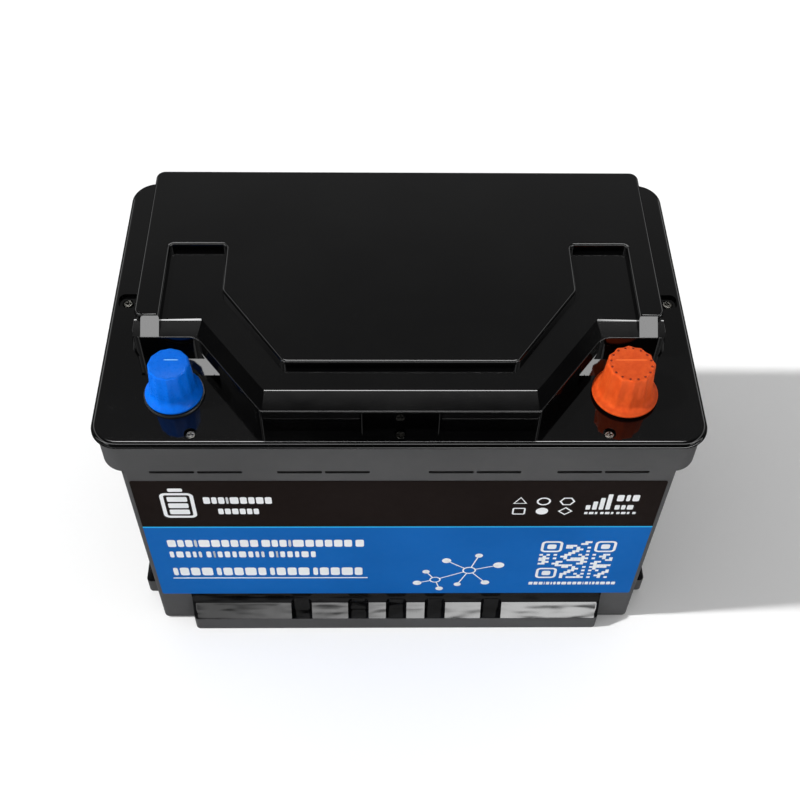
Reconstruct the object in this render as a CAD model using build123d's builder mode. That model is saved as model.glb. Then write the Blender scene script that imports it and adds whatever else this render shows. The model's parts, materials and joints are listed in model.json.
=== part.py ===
from build123d import *

import os
from math import atan, cos, degrees, radians, sin, tan

# Deep cycle battery: a 12.8 V 100 Ah lithium iron phosphate battery in an L3 case, 278 x 175 x 190 mm.
# Frame: origin at the bottom centre of the case, +X along the long side, +Y to the back, +Z up.
# All lengths are in millimetres.

os.makedirs("parts", exist_ok=True)

# ---------------------------------------------------------------- driving dimensions
LENGTH = 278.0  # over the lid flange and the end ledges
WIDTH = 175.0  # over the front and back hold-down rails
LID_TOP = 190.0  # top of the lid plateau

# heights
CASE_RIM = 167.2  # joint between case and lid
COLLAR_BASE = 146.4  # underside of the widened case top
DECK = 170.0  # flat of the lid around the terminals
SHOULDER = 184.0  # outer edge of the plateau's front shoulder
CHANNEL = 186.0  # floor of the empty handle channel

# case
BODY_X = 128.5  # half length of the case body
BODY_Y_TOP = 83.4  # half depth of the case at the collar
BODY_Y_BASE = 80.5  # half depth of the case at the bottom
BODY_CORNER = 2.6
COLLAR_X = 137.4
COLLAR_Y = 83.6
COLLAR_CORNER = 11.5
WALL = 2.5
FLOOR = 3.0

# hold-down rails and end ledges
RAIL_X = 110.5
RAIL_EDGE = 10.6  # height of the vertical face
RAIL_TOP = 22.5
RAIL_TOP_DEPTH = 84.0  # Y of the rail's top edge
LEDGE_Y = 64.0
RAIL_END_R = 2.5
NOTCH_CENTRES = (-51.5, -20.8, -0.3, 20.7, 51.2)
NOTCH_W = 11.2

# vents moulded in the front and back
VENT_L = 21.0
VENT_H = 1.9
VENT_Z = 145.2
VENT_PAIRS = (-93.9, -35.2, 34.7, 94.1)
VENT_DEPTH = 1.2
VENT_GAP = 1.0  # between the two slots of a pair

# lid
FLANGE_X = LENGTH / 2
FLANGE_Y = 86.2
FLANGE_CORNER = 13.0
LID_WALL = 2.8
PLATEAU_X = 122.8
PLATEAU_BACK = 72.5

# lid screws
SCREW_R = 1.75
SCREW_HEAD_R = 2.4
SCREW_HEAD_H = 1.5
SCREW_SEAT = 167.4
SCREW_L = 14.0
INSERT_R = 2.6
BOSS_R = 3.7
BOSS_TOP = 165.0  # the lid's short screw bosses stand on the case's bosses here
LID_BOSS_R = 3.0
SCREW_SPOTS = [(x, y) for y in (-79.4, 79.4) for x in (-93.7, 0.0, 93.7)] + [(-131.5, 0.0), (131.5, 0.0)]

# terminals: tapered posts of standard size, 1 in 9 on diameter
POST_X = 103.0
POST_Y = -57.0
POST_SPOTS = [(-POST_X, POST_Y), (POST_X, POST_Y)]
POST_L = 17.0
POST_BASE = 171.0  # top of the post's flange ring
NEG_POST_R = 8.95
POS_POST_R = 9.75
POST_TAPER = 1 / 18  # radius lost per millimetre of height
RING_R = 14.0

# cells: 12.8 V needs four 3.2 V cells in series
CELL_Y = 36.35
CELL_Z = 130.3
CELL_COUNT = 4
CELL_GAP = 0.6  # insulating sheet
CELL_FLOOR = 7.0
CELL_LEFT = -121.0  # X of the cells' blind end
CELL_BODY = 196.0  # length of the can, without its terminals
CELL_TERMINAL = 4.5  # height of a terminal block on the can
PITCH = CELL_Y + CELL_GAP
CELL_MID_Z = CELL_FLOOR + CELL_Z / 2
TERMINAL_DZ = 33.0  # terminals sit this far above and below the cell's mid height
CELL_TOP = CELL_FLOOR + CELL_Z

# battery management system, above the cells
TRAY_Z = CELL_TOP + 1.2
BOARD_Z = TRAY_Z + 7.0
BOARD_X = 62.0  # half length
BOARD_Y = 44.0
BOARD_MID_X = -18.0


def save(node, name):
    """Label a finished piece and write it as its own file."""
    node.label = name
    export_step(node, f"parts/{name}.step")


def gasket_ring():
    """Sketch the ring between lid and case wall, into the sketch that is open."""
    for inset, mode in ((GROOVE_OUT, Mode.ADD), (GROOVE_IN, Mode.SUBTRACT)):
        RectangleRounded(2 * (COLLAR_X - inset), 2 * (COLLAR_Y - inset), COLLAR_CORNER - inset, mode=mode)


def mirrored(points):
    """A closed outline from its right half, listed from the back centre line to the front one."""
    return points + [(-x, y) for x, y in reversed(points) if x]


# ---------------------------------------------------------------- case
rail_profile = [
    (BODY_Y_BASE - 3, 0),
    (WIDTH / 2, 0),
    (WIDTH / 2, RAIL_EDGE),
    (RAIL_TOP_DEPTH, RAIL_TOP),
    (BODY_Y_BASE - 3, RAIL_TOP),
]
ledge_profile = [
    (BODY_X - 3, 0),
    (LENGTH / 2, 0),
    (LENGTH / 2, RAIL_EDGE),
    (LENGTH / 2 - 4.5, RAIL_TOP),
    (BODY_X - 3, RAIL_TOP),
]

with BuildPart() as case:
    with BuildSketch(Plane.XY):
        RectangleRounded(2 * BODY_X, 2 * BODY_Y_BASE, BODY_CORNER)
    with BuildSketch(Plane.XY.offset(COLLAR_BASE)):
        RectangleRounded(2 * BODY_X, 2 * BODY_Y_TOP, BODY_CORNER)
    loft()
    fillet(case.faces().sort_by(Axis.Z)[0].edges(), 1.8)
    # collar: the case widens at both ends under the lid
    with BuildSketch(Plane.XY.offset(COLLAR_BASE)):
        RectangleRounded(2 * COLLAR_X, 2 * COLLAR_Y, COLLAR_CORNER)
    extrude(amount=CASE_RIM - COLLAR_BASE)
    # front and back rails with rounded ends
    with BuildSketch(Plane.YZ.offset(-RAIL_X)):
        for side in (1, -1):
            Polygon(*[(side * y, z) for y, z in rail_profile], align=None)
    extrude(amount=2 * RAIL_X)
    # end ledges
    with BuildSketch(Plane.XZ.offset(-LEDGE_Y)):
        for side in (1, -1):
            Polygon(*[(side * x, z) for x, z in ledge_profile], align=None)
    extrude(amount=2 * LEDGE_Y)
    rail_ends = case.edges().filter_by(
        lambda e: e.center().Z < RAIL_TOP
        and abs(abs(e.center().X) - RAIL_X) < 0.1
        and abs(e.center().Y) > BODY_Y_BASE + 1
        and e.bounding_box().size.Z > 3
    )
    fillet(rail_ends, RAIL_END_R)
    ledge_ends = case.edges().filter_by(
        lambda e: e.center().Z < RAIL_TOP
        and abs(abs(e.center().Y) - LEDGE_Y) < 0.1
        and abs(e.center().X) > BODY_X + 2
        and e.bounding_box().size.Z > 3
    )
    fillet(ledge_ends, RAIL_END_R)
    # locating notches through the rails' sloped faces
    with BuildSketch(Plane.XY.offset(RAIL_EDGE + 0.2)):
        for side in (1, -1):
            for x in NOTCH_CENTRES:
                with Locations((x, side * (RAIL_TOP_DEPTH + 2.0))):
                    RectangleRounded(NOTCH_W, 9.0, 2.4)
    extrude(amount=RAIL_TOP - RAIL_EDGE + 1, mode=Mode.SUBTRACT)
    # inside of the body and of the collar
    with BuildSketch(Plane.XY.offset(FLOOR)):
        RectangleRounded(2 * (BODY_X - WALL), 2 * (BODY_Y_BASE - WALL), 1.5)
    with BuildSketch(Plane.XY.offset(COLLAR_BASE)):
        RectangleRounded(2 * (BODY_X - WALL), 2 * (BODY_Y_TOP - WALL), 1.5)
    loft(mode=Mode.SUBTRACT)
    with BuildSketch(Plane.XY.offset(COLLAR_BASE)):
        RectangleRounded(2 * (BODY_X - WALL), 2 * (BODY_Y_TOP - WALL), 1.5)
    extrude(amount=WALL + 1, mode=Mode.SUBTRACT)
    with BuildSketch(Plane.XY.offset(COLLAR_BASE + WALL)):
        RectangleRounded(2 * (COLLAR_X - WALL), 2 * (COLLAR_Y - WALL), COLLAR_CORNER - WALL)
    extrude(amount=CASE_RIM, mode=Mode.SUBTRACT)
    # screw bosses down the inside of the walls
    with BuildSketch(Plane.XY.offset(COLLAR_BASE)):
        with Locations(*SCREW_SPOTS):
            Circle(BOSS_R)
    extrude(amount=CASE_RIM - COLLAR_BASE)
    with BuildSketch(Plane.XY.offset(BOSS_TOP)):
        with Locations(*SCREW_SPOTS):
            Circle(LID_BOSS_R + 0.15)
    extrude(amount=CASE_RIM - BOSS_TOP, mode=Mode.SUBTRACT)
    with BuildSketch(Plane.XY.offset(BOSS_TOP)):
        with Locations(*SCREW_SPOTS):
            Circle(INSERT_R)
    extrude(amount=-12.5, mode=Mode.SUBTRACT)
    # shallow vent slots in pairs, front and back
    for face in (-1, 1):
        with BuildSketch(Plane.XZ.offset(face * (BODY_Y_TOP - VENT_DEPTH))):
            for centre in VENT_PAIRS:
                for side in (-1, 1):
                    with Locations((centre + side * (VENT_L + VENT_GAP) / 2, VENT_Z)):
                        SlotOverall(VENT_L, VENT_H)
        extrude(amount=face * 2 * VENT_DEPTH, mode=Mode.SUBTRACT)
save(case.part, "case")

# ---------------------------------------------------------------- lid
FRONT_Y = -78.1  # front faces of the two blocks at the foot of the plateau
LEG_IN_X = 83.3  # the handle channel's legs run back between these two
LEG_OUT_X = 110.7
LEG_BACK_Y = 19.3
NICHE_X = 18.3  # niche that clears the middle front screw
NICHE_Y = -74.6
NICHE_TOP = SHOULDER - 1.2
RAMP_TOP = DECK + 4.2
LIP_R = 5.0  # rounding along the channel floor's front edge, in the middle and at its two ends
RIM_IN_X = LEG_OUT_X  # the end rims' slopes run between these two
RIM_OUT_X = 119.2
GROOVE_OUT = 0.6  # the gasket lies this far inside the case's outer face
GROOVE_IN = 1.8
BOSS_BASE = DECK - LID_WALL - 1.6  # underside of the solid bosses under the terminals
SEAL_OUT_R = 11.8
SEAL_IN_R = 9.4
SEAL_T = 1.4
SHANK_R = 7.9

foot_outline = mirrored(
    [(0, 73.3), (PLATEAU_X + 0.8, 73.3), (PLATEAU_X + 0.8, -35.1), (93.6, -35.1), (63.6, -75.4),
     (61.8, FRONT_Y), (0, FRONT_Y)]
)
shoulder_base = mirrored(
    [(0, 72.5), (PLATEAU_X, 72.5), (PLATEAU_X, -34.6), (93.2, -34.6), (63.2, -75.0), (61.0, -77.6)]
)
shoulder_lip = mirrored(
    [(0, 72.5), (PLATEAU_X, 72.5), (PLATEAU_X, -25.8), (91.6, -25.8), (63.4, -64.0), (60.4, -67.6)]
)
plateau_outline = mirrored(
    [(0, PLATEAU_BACK), (PLATEAU_X, PLATEAU_BACK), (PLATEAU_X, -26.4), (LEG_OUT_X, -26.4),
     (LEG_OUT_X, LEG_BACK_Y), (LEG_IN_X, LEG_BACK_Y), (LEG_IN_X, -10.8), (52.6, -55.0), (0, -55.0)]
)
rim_profile = [(-26.4, LID_TOP), (-34.9, SHOULDER - 0.2), (-24.0, SHOULDER - 0.2), (-24.0, LID_TOP)]
ramp_outline = [(87.4, -48.4), (97.6, -42.0), (101.0, -34.5), (92.0, -34.5), (85.0, -44.0)]

with BuildPart() as lid:
    # flange over the case rim
    with BuildSketch(Plane.XY.offset(CASE_RIM)):
        RectangleRounded(2 * FLANGE_X, 2 * FLANGE_Y, FLANGE_CORNER)
    extrude(amount=DECK - CASE_RIM)
    fillet(lid.faces().sort_by(Axis.Z)[-1].edges(), 2.4)
    fillet(lid.faces().sort_by(Axis.Z)[0].edges(), 0.3)
    # foot of the plateau: pedestals at the terminals, slanted sides, blocks in front
    with BuildSketch(Plane.XY.offset(DECK - 1)) as foot:
        Polygon(*foot_outline, align=None)
        fillet(foot.vertices().filter_by(lambda v: v.Y < -75), 1.8)
        fillet(foot.vertices().filter_by(lambda v: v.Y < -30 and abs(v.X) < 95 and v.Y > -40), 7.0)
        fillet(foot.vertices().filter_by(lambda v: v.Y > 70), 5.0)
        fillet(foot.vertices().filter_by(lambda v: v.Y < -30 and abs(v.X) > 120), 5.0)
    extrude(amount=SHOULDER - DECK + 1)
    fillet(lid.faces().sort_by(Axis.Z)[-1].edges(), 0.45)
    # rounded outer corners of the pedestals, wider at the deck
    for side in (-1, 1):
        with Locations((side * 117.6, -26.6, (DECK + SHOULDER) / 2 - 0.3)):
            Cone(8.5, 6.2, SHOULDER - DECK - 0.6)
    # niche in front of the middle screw
    with BuildSketch(Plane.XY.offset(DECK)) as niche:
        with Locations((0, FRONT_Y - 2)):
            Rectangle(2 * NICHE_X, 2 * (NICHE_Y - FRONT_Y + 2))
        fillet(niche.vertices().sort_by(Axis.Y)[-2:], 1.5)
    extrude(amount=NICHE_TOP - DECK, mode=Mode.SUBTRACT)
    # shoulder sloping up to the lip of the handle channel's floor
    with BuildSketch(Plane.XY.offset(SHOULDER)):
        Polygon(*shoulder_base, align=None)
    with BuildSketch(Plane.XY.offset(CHANNEL)):
        Polygon(*shoulder_lip, align=None)
    loft(ruled=True)
    lip_edges = lid.edges().filter_by(
        lambda e: abs(e.center().Z - CHANNEL) < 0.01
        and e.center().Y < -20
        and (abs(e.center().X) < 1 or abs(e.center().X) > 100)
    )
    fillet(lip_edges, LIP_R)
    # plateau and its end rims
    with BuildSketch(Plane.XY.offset(SHOULDER)) as plateau:
        Polygon(*plateau_outline, align=None)
        fillet(plateau.vertices().filter_by(lambda v: v.Y > 70), 4.5)
        fillet(plateau.vertices().filter_by(lambda v: v.Y < -20 and abs(v.X) > 120), 3.6)
        fillet(plateau.vertices().filter_by(lambda v: abs(v.X) < 112 and 15 < v.Y < 25), 2.2)
        fillet(plateau.vertices().filter_by(lambda v: v.Y < -5 and abs(v.X) < 90), 4.0)
    extrude(amount=LID_TOP - SHOULDER)
    # slopes from the end rims down to the pedestals
    for side in (-1, 1):
        with BuildSketch(Plane.YZ.offset(side * RIM_IN_X)):
            Polygon(*rim_profile, align=None)
        extrude(amount=side * (RIM_OUT_X - RIM_IN_X))
    fillet(lid.faces().sort_by(Axis.Z)[-1].edges(), 1.5)
    # hollow underside, one step for each level of the outside
    with BuildSketch(Plane.XY.offset(DECK - LID_WALL)):
        Polygon(*foot_outline, align=None)
        offset(amount=-LID_WALL, kind=Kind.INTERSECTION)
        with Locations((0, FRONT_Y)):
            Rectangle(2 * (NICHE_X + LID_WALL), 2 * (NICHE_Y - FRONT_Y + LID_WALL), mode=Mode.SUBTRACT)
    extrude(amount=SHOULDER - DECK, mode=Mode.SUBTRACT)
    with BuildSketch(Plane.XY.offset(SHOULDER - LID_WALL)):
        Polygon(*shoulder_lip, align=None)
        offset(amount=-LID_WALL, kind=Kind.INTERSECTION)
    extrude(amount=CHANNEL - SHOULDER, mode=Mode.SUBTRACT)
    with BuildSketch(Plane.XY.offset(CHANNEL - LID_WALL)):
        Polygon(*plateau_outline, align=None)
        offset(amount=-LID_WALL, kind=Kind.INTERSECTION)
    extrude(amount=LID_TOP - CHANNEL, mode=Mode.SUBTRACT)
    # solid bosses around the screws and under the terminals
    with BuildSketch(Plane.XY.offset(BOSS_TOP)):
        with Locations(*SCREW_SPOTS):
            Circle(LID_BOSS_R)
    extrude(amount=SCREW_SEAT - BOSS_TOP)
    with BuildSketch(Plane.XY.offset(BOSS_BASE)):
        with Locations(*POST_SPOTS):
            Circle(RING_R + 1.5)
    extrude(amount=DECK - 1.8 - BOSS_BASE)
    # low ramp in the corner behind each terminal
    with BuildSketch(Plane.XY.offset(DECK - 1)):
        Polygon(*ramp_outline, align=None)
        Polygon(*[(-x, y) for x, y in ramp_outline], align=None)
    extrude(amount=RAMP_TOP - DECK + 1)
    with BuildSketch(Plane.YZ.offset(-PLATEAU_X)):
        Polygon((-50, DECK), (-46, DECK), (-37.5, RAMP_TOP + 1.4), (-50, RAMP_TOP + 1.4), align=None)
    extrude(amount=2 * PLATEAU_X, mode=Mode.SUBTRACT)
    # screw holes and their counterbores
    for x, y in SCREW_SPOTS:
        with Locations(Location((x, y, DECK))):
            CounterBoreHole(SCREW_R + 0.25, SCREW_HEAD_R + 0.5, DECK - SCREW_SEAT, depth=12)
    # wider hollows around the two end screws
    with BuildSketch(Plane.XY.offset(DECK)):
        with Locations((-130.6, 0.6), (130.6, 0.6)):
            RectangleRounded(11.0, 9.0, 3.0)
    extrude(amount=-1.7, mode=Mode.SUBTRACT)
    # terminal holes and seal grooves
    with BuildSketch(Plane.XY.offset(DECK + 1)):
        with Locations(*POST_SPOTS):
            Circle(SHANK_R + 0.2)
    extrude(amount=-12, mode=Mode.SUBTRACT)
    with BuildSketch(Plane.XY.offset(DECK)):
        with Locations(*POST_SPOTS):
            Circle(SEAL_OUT_R)
            Circle(SEAL_IN_R, mode=Mode.SUBTRACT)
    extrude(amount=-SEAL_T, mode=Mode.SUBTRACT)
    # gasket groove over the case wall
    with BuildSketch(Plane.XY.offset(CASE_RIM)):
        gasket_ring()
    extrude(amount=1.0, mode=Mode.SUBTRACT)
save(lid.part, "lid")

with BuildPart() as lid_gasket:
    with BuildSketch(Plane.XY.offset(CASE_RIM)):
        gasket_ring()
    extrude(amount=1.0)
save(lid_gasket.part, "lid_gasket")

# ---------------------------------------------------------------- lid fasteners
with BuildPart() as lid_screws:
    with BuildSketch(Plane.XY.offset(SCREW_SEAT)):
        with Locations(*SCREW_SPOTS):
            Circle(SCREW_HEAD_R)
    extrude(amount=SCREW_HEAD_H)
    fillet(lid_screws.faces().filter_by(lambda f: f.center().Z > SCREW_SEAT + 1).edges(), 0.7)
    with BuildSketch(Plane.XY.offset(SCREW_SEAT)):
        with Locations(*SCREW_SPOTS):
            Circle(SCREW_R)
    extrude(amount=-SCREW_L)
    # cross recess
    with BuildSketch(Plane.XY.offset(SCREW_SEAT + SCREW_HEAD_H)):
        with Locations(*SCREW_SPOTS):
            Rectangle(2.8, 0.7)
            Rectangle(0.7, 2.8)
    extrude(amount=-0.9, mode=Mode.SUBTRACT)
save(lid_screws.part, "lid_screws")

with BuildPart() as screw_inserts:
    with BuildSketch(Plane.XY.offset(BOSS_TOP - 0.5)):
        with Locations(*SCREW_SPOTS):
            Circle(INSERT_R)
            Circle(SCREW_R + 0.05, mode=Mode.SUBTRACT)
    extrude(amount=-9.0)
save(screw_inserts.part, "screw_inserts")


# ---------------------------------------------------------------- terminals
STUD_R = 6.0
STUD_END_Z = 149.5


def post_section(base_r):
    """Half section of a post: taper, flange ring, shank and stud, in the XZ plane at X = 0."""
    return [
        (0, POST_BASE + POST_L), (base_r - POST_L * POST_TAPER - 0.8, POST_BASE + POST_L),
        (base_r - POST_L * POST_TAPER, POST_BASE + POST_L - 0.8), (base_r, POST_BASE),
        (RING_R - 0.3, POST_BASE), (RING_R, POST_BASE - 0.3), (RING_R, DECK), (SHANK_R, DECK),
        (SHANK_R, BOSS_BASE), (STUD_R, BOSS_BASE), (STUD_R, STUD_END_Z + 1), (STUD_R - 0.8, STUD_END_Z),
        (0, STUD_END_Z),
    ]


with BuildPart() as negative_post:
    with BuildSketch(Plane.XZ):
        Polygon(*post_section(NEG_POST_R), align=None)
    revolve(axis=Axis.Z)
negative_post.part.location = Location((-POST_X, POST_Y, 0))
save(negative_post.part, "negative_post")

with BuildPart() as positive_post:
    with BuildSketch(Plane.XZ):
        Polygon(*post_section(POS_POST_R), align=None)
    revolve(axis=Axis.Z)
positive_post.part.location = Location((POST_X, POST_Y, 0))
save(positive_post.part, "positive_post")

LUG_T = 2.5

with BuildPart() as post_seals:
    with BuildSketch(Plane.XY.offset(DECK)):
        with Locations(*POST_SPOTS):
            Circle(SEAL_OUT_R - 0.2)
            Circle(SEAL_IN_R + 0.2, mode=Mode.SUBTRACT)
    extrude(amount=-SEAL_T)
save(post_seals.part, "post_seals")

WASHER_T = 1.2
with BuildPart() as post_washers:
    with BuildSketch(Plane.XY.offset(BOSS_BASE)):
        with Locations(*POST_SPOTS):
            Circle(2 * STUD_R)
            Circle(STUD_R + 0.2, mode=Mode.SUBTRACT)
    extrude(amount=-WASHER_T)
save(post_washers.part, "post_washers")

NUT_T = 4.0
UPPER_NUT = BOSS_BASE - WASHER_T
LUG_LEVEL = UPPER_NUT - NUT_T
LOWER_NUT = LUG_LEVEL - LUG_T

with BuildPart() as post_nuts:
    for level in (UPPER_NUT, LOWER_NUT):
        with BuildSketch(Plane.XY.offset(level)):
            with Locations(*POST_SPOTS):
                RegularPolygon(9.5, 6, major_radius=False)
                Circle(STUD_R + 0.05, mode=Mode.SUBTRACT)
        extrude(amount=-NUT_T)
save(post_nuts.part, "post_nuts")

# ---------------------------------------------------------------- terminal caps
CAP_GAP = 0.3  # air between cap and post
NEG_WALL = 1.15
POS_WALL = 1.7
CAP_FOOT = POST_BASE + 0.35


def cap_inside(base_r):
    """Half section of the hollow under a cap, which follows the tapered post."""
    rise = POST_BASE + POST_L + 0.5
    return [
        (0, CAP_FOOT - 1), (base_r + CAP_GAP + 0.05, CAP_FOOT - 1),
        (base_r + CAP_GAP, CAP_FOOT), (base_r + CAP_GAP - (rise - CAP_FOOT) * POST_TAPER, rise), (0, rise),
    ]


# blue cap: narrow brim, smooth round top, shallow flutes
NEG_BRIM_R = 13.2
NEG_FOOT_R = NEG_POST_R + CAP_GAP + NEG_WALL
NEG_TOP_R = NEG_FOOT_R - 1.2
NEG_CAP_TOP = 191.8

with BuildPart() as negative_cap:
    with BuildSketch(Plane.XZ):
        with BuildLine():
            Polyline((0, NEG_CAP_TOP), (0, CAP_FOOT), (NEG_BRIM_R, CAP_FOOT), (NEG_BRIM_R, CAP_FOOT + 0.9))
            Spline(
                (NEG_BRIM_R, CAP_FOOT + 0.9), (NEG_BRIM_R - 1.7, CAP_FOOT + 3.2), (NEG_FOOT_R, CAP_FOOT + 7.0),
                tangents=[(-0.5, 0.85), (-0.08, 1)],
            )
            Line((NEG_FOOT_R, CAP_FOOT + 7.0), (NEG_TOP_R, NEG_CAP_TOP - 4.6))
            Spline(
                (NEG_TOP_R, NEG_CAP_TOP - 4.6), (NEG_TOP_R - 2.3, NEG_CAP_TOP - 1.2), (0, NEG_CAP_TOP),
                tangents=[(-0.08, 1), (-1, 0)],
            )
        make_face()
    revolve(axis=Axis.Z)
    with BuildSketch(Plane.XZ):
        Polygon(*cap_inside(NEG_POST_R), align=None)
    revolve(axis=Axis.Z, mode=Mode.SUBTRACT)
negative_cap.part.location = Location((-POST_X, POST_Y, 0))
save(negative_cap.part, "negative_cap")

# orange cap: wide brim, ribbed cone, flat top with a ring of small pips
POS_BRIM_R = 15.1
POS_FOOT_R = POS_POST_R + CAP_GAP + POS_WALL
POS_TOP_R = POS_FOOT_R - 1.1
POS_CAP_TOP = 192.0
RIBS = 16

with BuildPart() as positive_cap:
    with BuildSketch(Plane.XZ):
        with BuildLine():
            Polyline((0, POS_CAP_TOP), (0, CAP_FOOT), (POS_BRIM_R, CAP_FOOT), (POS_BRIM_R, CAP_FOOT + 1.0))
            Spline(
                (POS_BRIM_R, CAP_FOOT + 1.0), (POS_BRIM_R - 1.5, CAP_FOOT + 2.2), (POS_FOOT_R, CAP_FOOT + 5.5),
                tangents=[(-0.9, 0.45), (-0.1, 1)],
            )
            Line((POS_FOOT_R, CAP_FOOT + 5.5), (POS_TOP_R, POS_CAP_TOP - 1.2))
            Polyline((POS_TOP_R, POS_CAP_TOP - 1.2), (POS_TOP_R - 1.0, POS_CAP_TOP), (0, POS_CAP_TOP))
        make_face()
    revolve(axis=Axis.Z)
    # ribs up the cone
    with BuildSketch(Plane.XY.offset(CAP_FOOT + 3.0)):
        with PolarLocations(POS_FOOT_R, RIBS):
            Circle(0.75)
    extrude(amount=POS_CAP_TOP - 1.4 - CAP_FOOT - 3.0, taper=0.6)
    with BuildSketch(Plane.XZ):
        Polygon(*cap_inside(POS_POST_R), align=None)
    revolve(axis=Axis.Z, mode=Mode.SUBTRACT)
    # ring of small holes near the rim
    with BuildSketch(Plane.XY.offset(POS_CAP_TOP)):
        with PolarLocations(POS_TOP_R - 1.9, RIBS):
            Circle(0.45)
    extrude(amount=-0.6, mode=Mode.SUBTRACT)
positive_cap.part.location = Location((POST_X, POST_Y, 0))
save(positive_cap.part, "positive_cap")

# ---------------------------------------------------------------- label
LABEL_X = 125.6
LABEL_LOW = 28.0
LABEL_HIGH = 138.0
LABEL_T = 0.3
WALL_LEAN = degrees(atan((BODY_Y_TOP - BODY_Y_BASE) / COLLAR_BASE))
label_mid_z = (LABEL_LOW + LABEL_HIGH) / 2
label_mid_y = -(BODY_Y_BASE + label_mid_z * tan(radians(WALL_LEAN)))

with BuildPart() as front_label:
    with BuildSketch(Plane((0, label_mid_y, label_mid_z), x_dir=(1, 0, 0),
                           z_dir=(0, -cos(radians(WALL_LEAN)), -sin(radians(WALL_LEAN))))):
        RectangleRounded(2 * LABEL_X, (LABEL_HIGH - LABEL_LOW) / cos(radians(WALL_LEAN)), 1.2)
    extrude(amount=LABEL_T)
save(front_label.part, "front_label")

# ---------------------------------------------------------------- cells
CAN_RIGHT = CELL_LEFT + CELL_BODY  # the flat end that carries the terminals
TERMINAL_FACE = CAN_RIGHT + CELL_TERMINAL
BUSBAR_T = 3.0
STUD_END = TERMINAL_FACE + 11.5
cell_rows = [(row - (CELL_COUNT - 1) / 2) * PITCH for row in range(CELL_COUNT)]
terminal_spots = [(y, CELL_MID_Z + dz) for y in cell_rows for dz in (-TERMINAL_DZ, TERMINAL_DZ)]

for row, y in enumerate(cell_rows):
    with BuildPart() as cell:
        with BuildSketch(Plane.YZ.offset(CELL_LEFT)):
            with Locations((y, CELL_MID_Z)):
                RectangleRounded(CELL_Y, CELL_Z, 3.0)
        extrude(amount=CAN_RIGHT - CELL_LEFT)
        fillet(cell.faces().sort_by(Axis.X)[0].edges(), 1.2)
        with BuildSketch(Plane.YZ.offset(CAN_RIGHT)):
            with Locations((y, CELL_MID_Z)):
                SlotOverall(22, 12, rotation=90)
        extrude(amount=-0.8, mode=Mode.SUBTRACT)
    save(cell.part, f"cell_{row + 1}")

with BuildPart() as cell_vents:
    with BuildSketch(Plane.YZ.offset(CAN_RIGHT - 0.8)):
        with Locations(*[(y, CELL_MID_Z) for y in cell_rows]):
            SlotOverall(21.6, 11.6, rotation=90)
    extrude(amount=0.4)
save(cell_vents.part, "cell_vents")

with BuildPart() as cell_terminals:
    with BuildSketch(Plane.YZ.offset(CAN_RIGHT)):
        with Locations(*terminal_spots):
            RectangleRounded(18, 18, 2.5)
    extrude(amount=TERMINAL_FACE - CAN_RIGHT)
    with BuildSketch(Plane.YZ.offset(TERMINAL_FACE)):
        with Locations(*terminal_spots):
            Circle(3.0)
    extrude(amount=STUD_END - TERMINAL_FACE)
save(cell_terminals.part, "cell_terminals")

with BuildPart() as cell_insulators:
    for y in cell_rows[:-1]:
        with BuildSketch(Plane.YZ.offset(CELL_LEFT)):
            with Locations((y + PITCH / 2, CELL_MID_Z)):
                Rectangle(CELL_GAP, CELL_Z)
        extrude(amount=CAN_RIGHT - CELL_LEFT)
save(cell_insulators.part, "cell_insulators")

STACK_Y = cell_rows[-1] + CELL_Y / 2
PLATE_T = 2.0
STRAP_XS = (-85.0, 35.0)
STRAP_W = 12.0
STRAP_T = 0.6

with BuildPart() as end_plates:
    for side in (-1, 1):
        with BuildSketch(Plane.YZ.offset(CELL_LEFT + 2)):
            with Locations((side * (STACK_Y + PLATE_T / 2), CELL_MID_Z)):
                Rectangle(PLATE_T, CELL_Z)
        extrude(amount=CAN_RIGHT - CELL_LEFT - 4)
save(end_plates.part, "end_plates")

with BuildPart() as cell_straps:
    for x in STRAP_XS:
        with BuildSketch(Plane.YZ.offset(x - STRAP_W / 2)):
            with Locations((0, CELL_MID_Z)):
                RectangleRounded(2 * (STACK_Y + PLATE_T + STRAP_T), CELL_Z + 2 * STRAP_T, 0.9)
                Rectangle(2 * (STACK_Y + PLATE_T), CELL_Z, mode=Mode.SUBTRACT)
        extrude(amount=STRAP_W)
save(cell_straps.part, "cell_straps")

# ---------------------------------------------------------------- foam packing
PAD_MARGIN = 8.0  # the pads stop this far from the middle of each strap
pad_starts = (CELL_LEFT + 1, STRAP_XS[0] + PAD_MARGIN, STRAP_XS[1] + PAD_MARGIN)
pad_ends = (STRAP_XS[0] - PAD_MARGIN, STRAP_XS[1] - PAD_MARGIN, CAN_RIGHT)

with BuildPart() as base_pads:
    for start, end in zip(pad_starts, pad_ends):
        with Locations(((start + end) / 2, 0, (FLOOR + CELL_FLOOR) / 2)):
            Box(end - start, 2 * STACK_Y - 6, CELL_FLOOR - FLOOR)
save(base_pads.part, "base_pads")

with BuildPart() as end_foam:
    with Locations(((CELL_LEFT - BODY_X + WALL) / 2, 0, CELL_MID_Z)):
        Box(CELL_LEFT + BODY_X - WALL, 2 * STACK_Y - 10, CELL_Z - 20)
save(end_foam.part, "end_foam")

SIDE_FOAM_Y = STACK_Y + PLATE_T + STRAP_T
with BuildPart() as side_foams:
    for side in (-1, 1):
        with Locations((-22, side * (SIDE_FOAM_Y + 0.85), CELL_MID_Z)):
            Box(160, 1.6, CELL_Z - 30)
save(side_foams.part, "side_foams")

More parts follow.
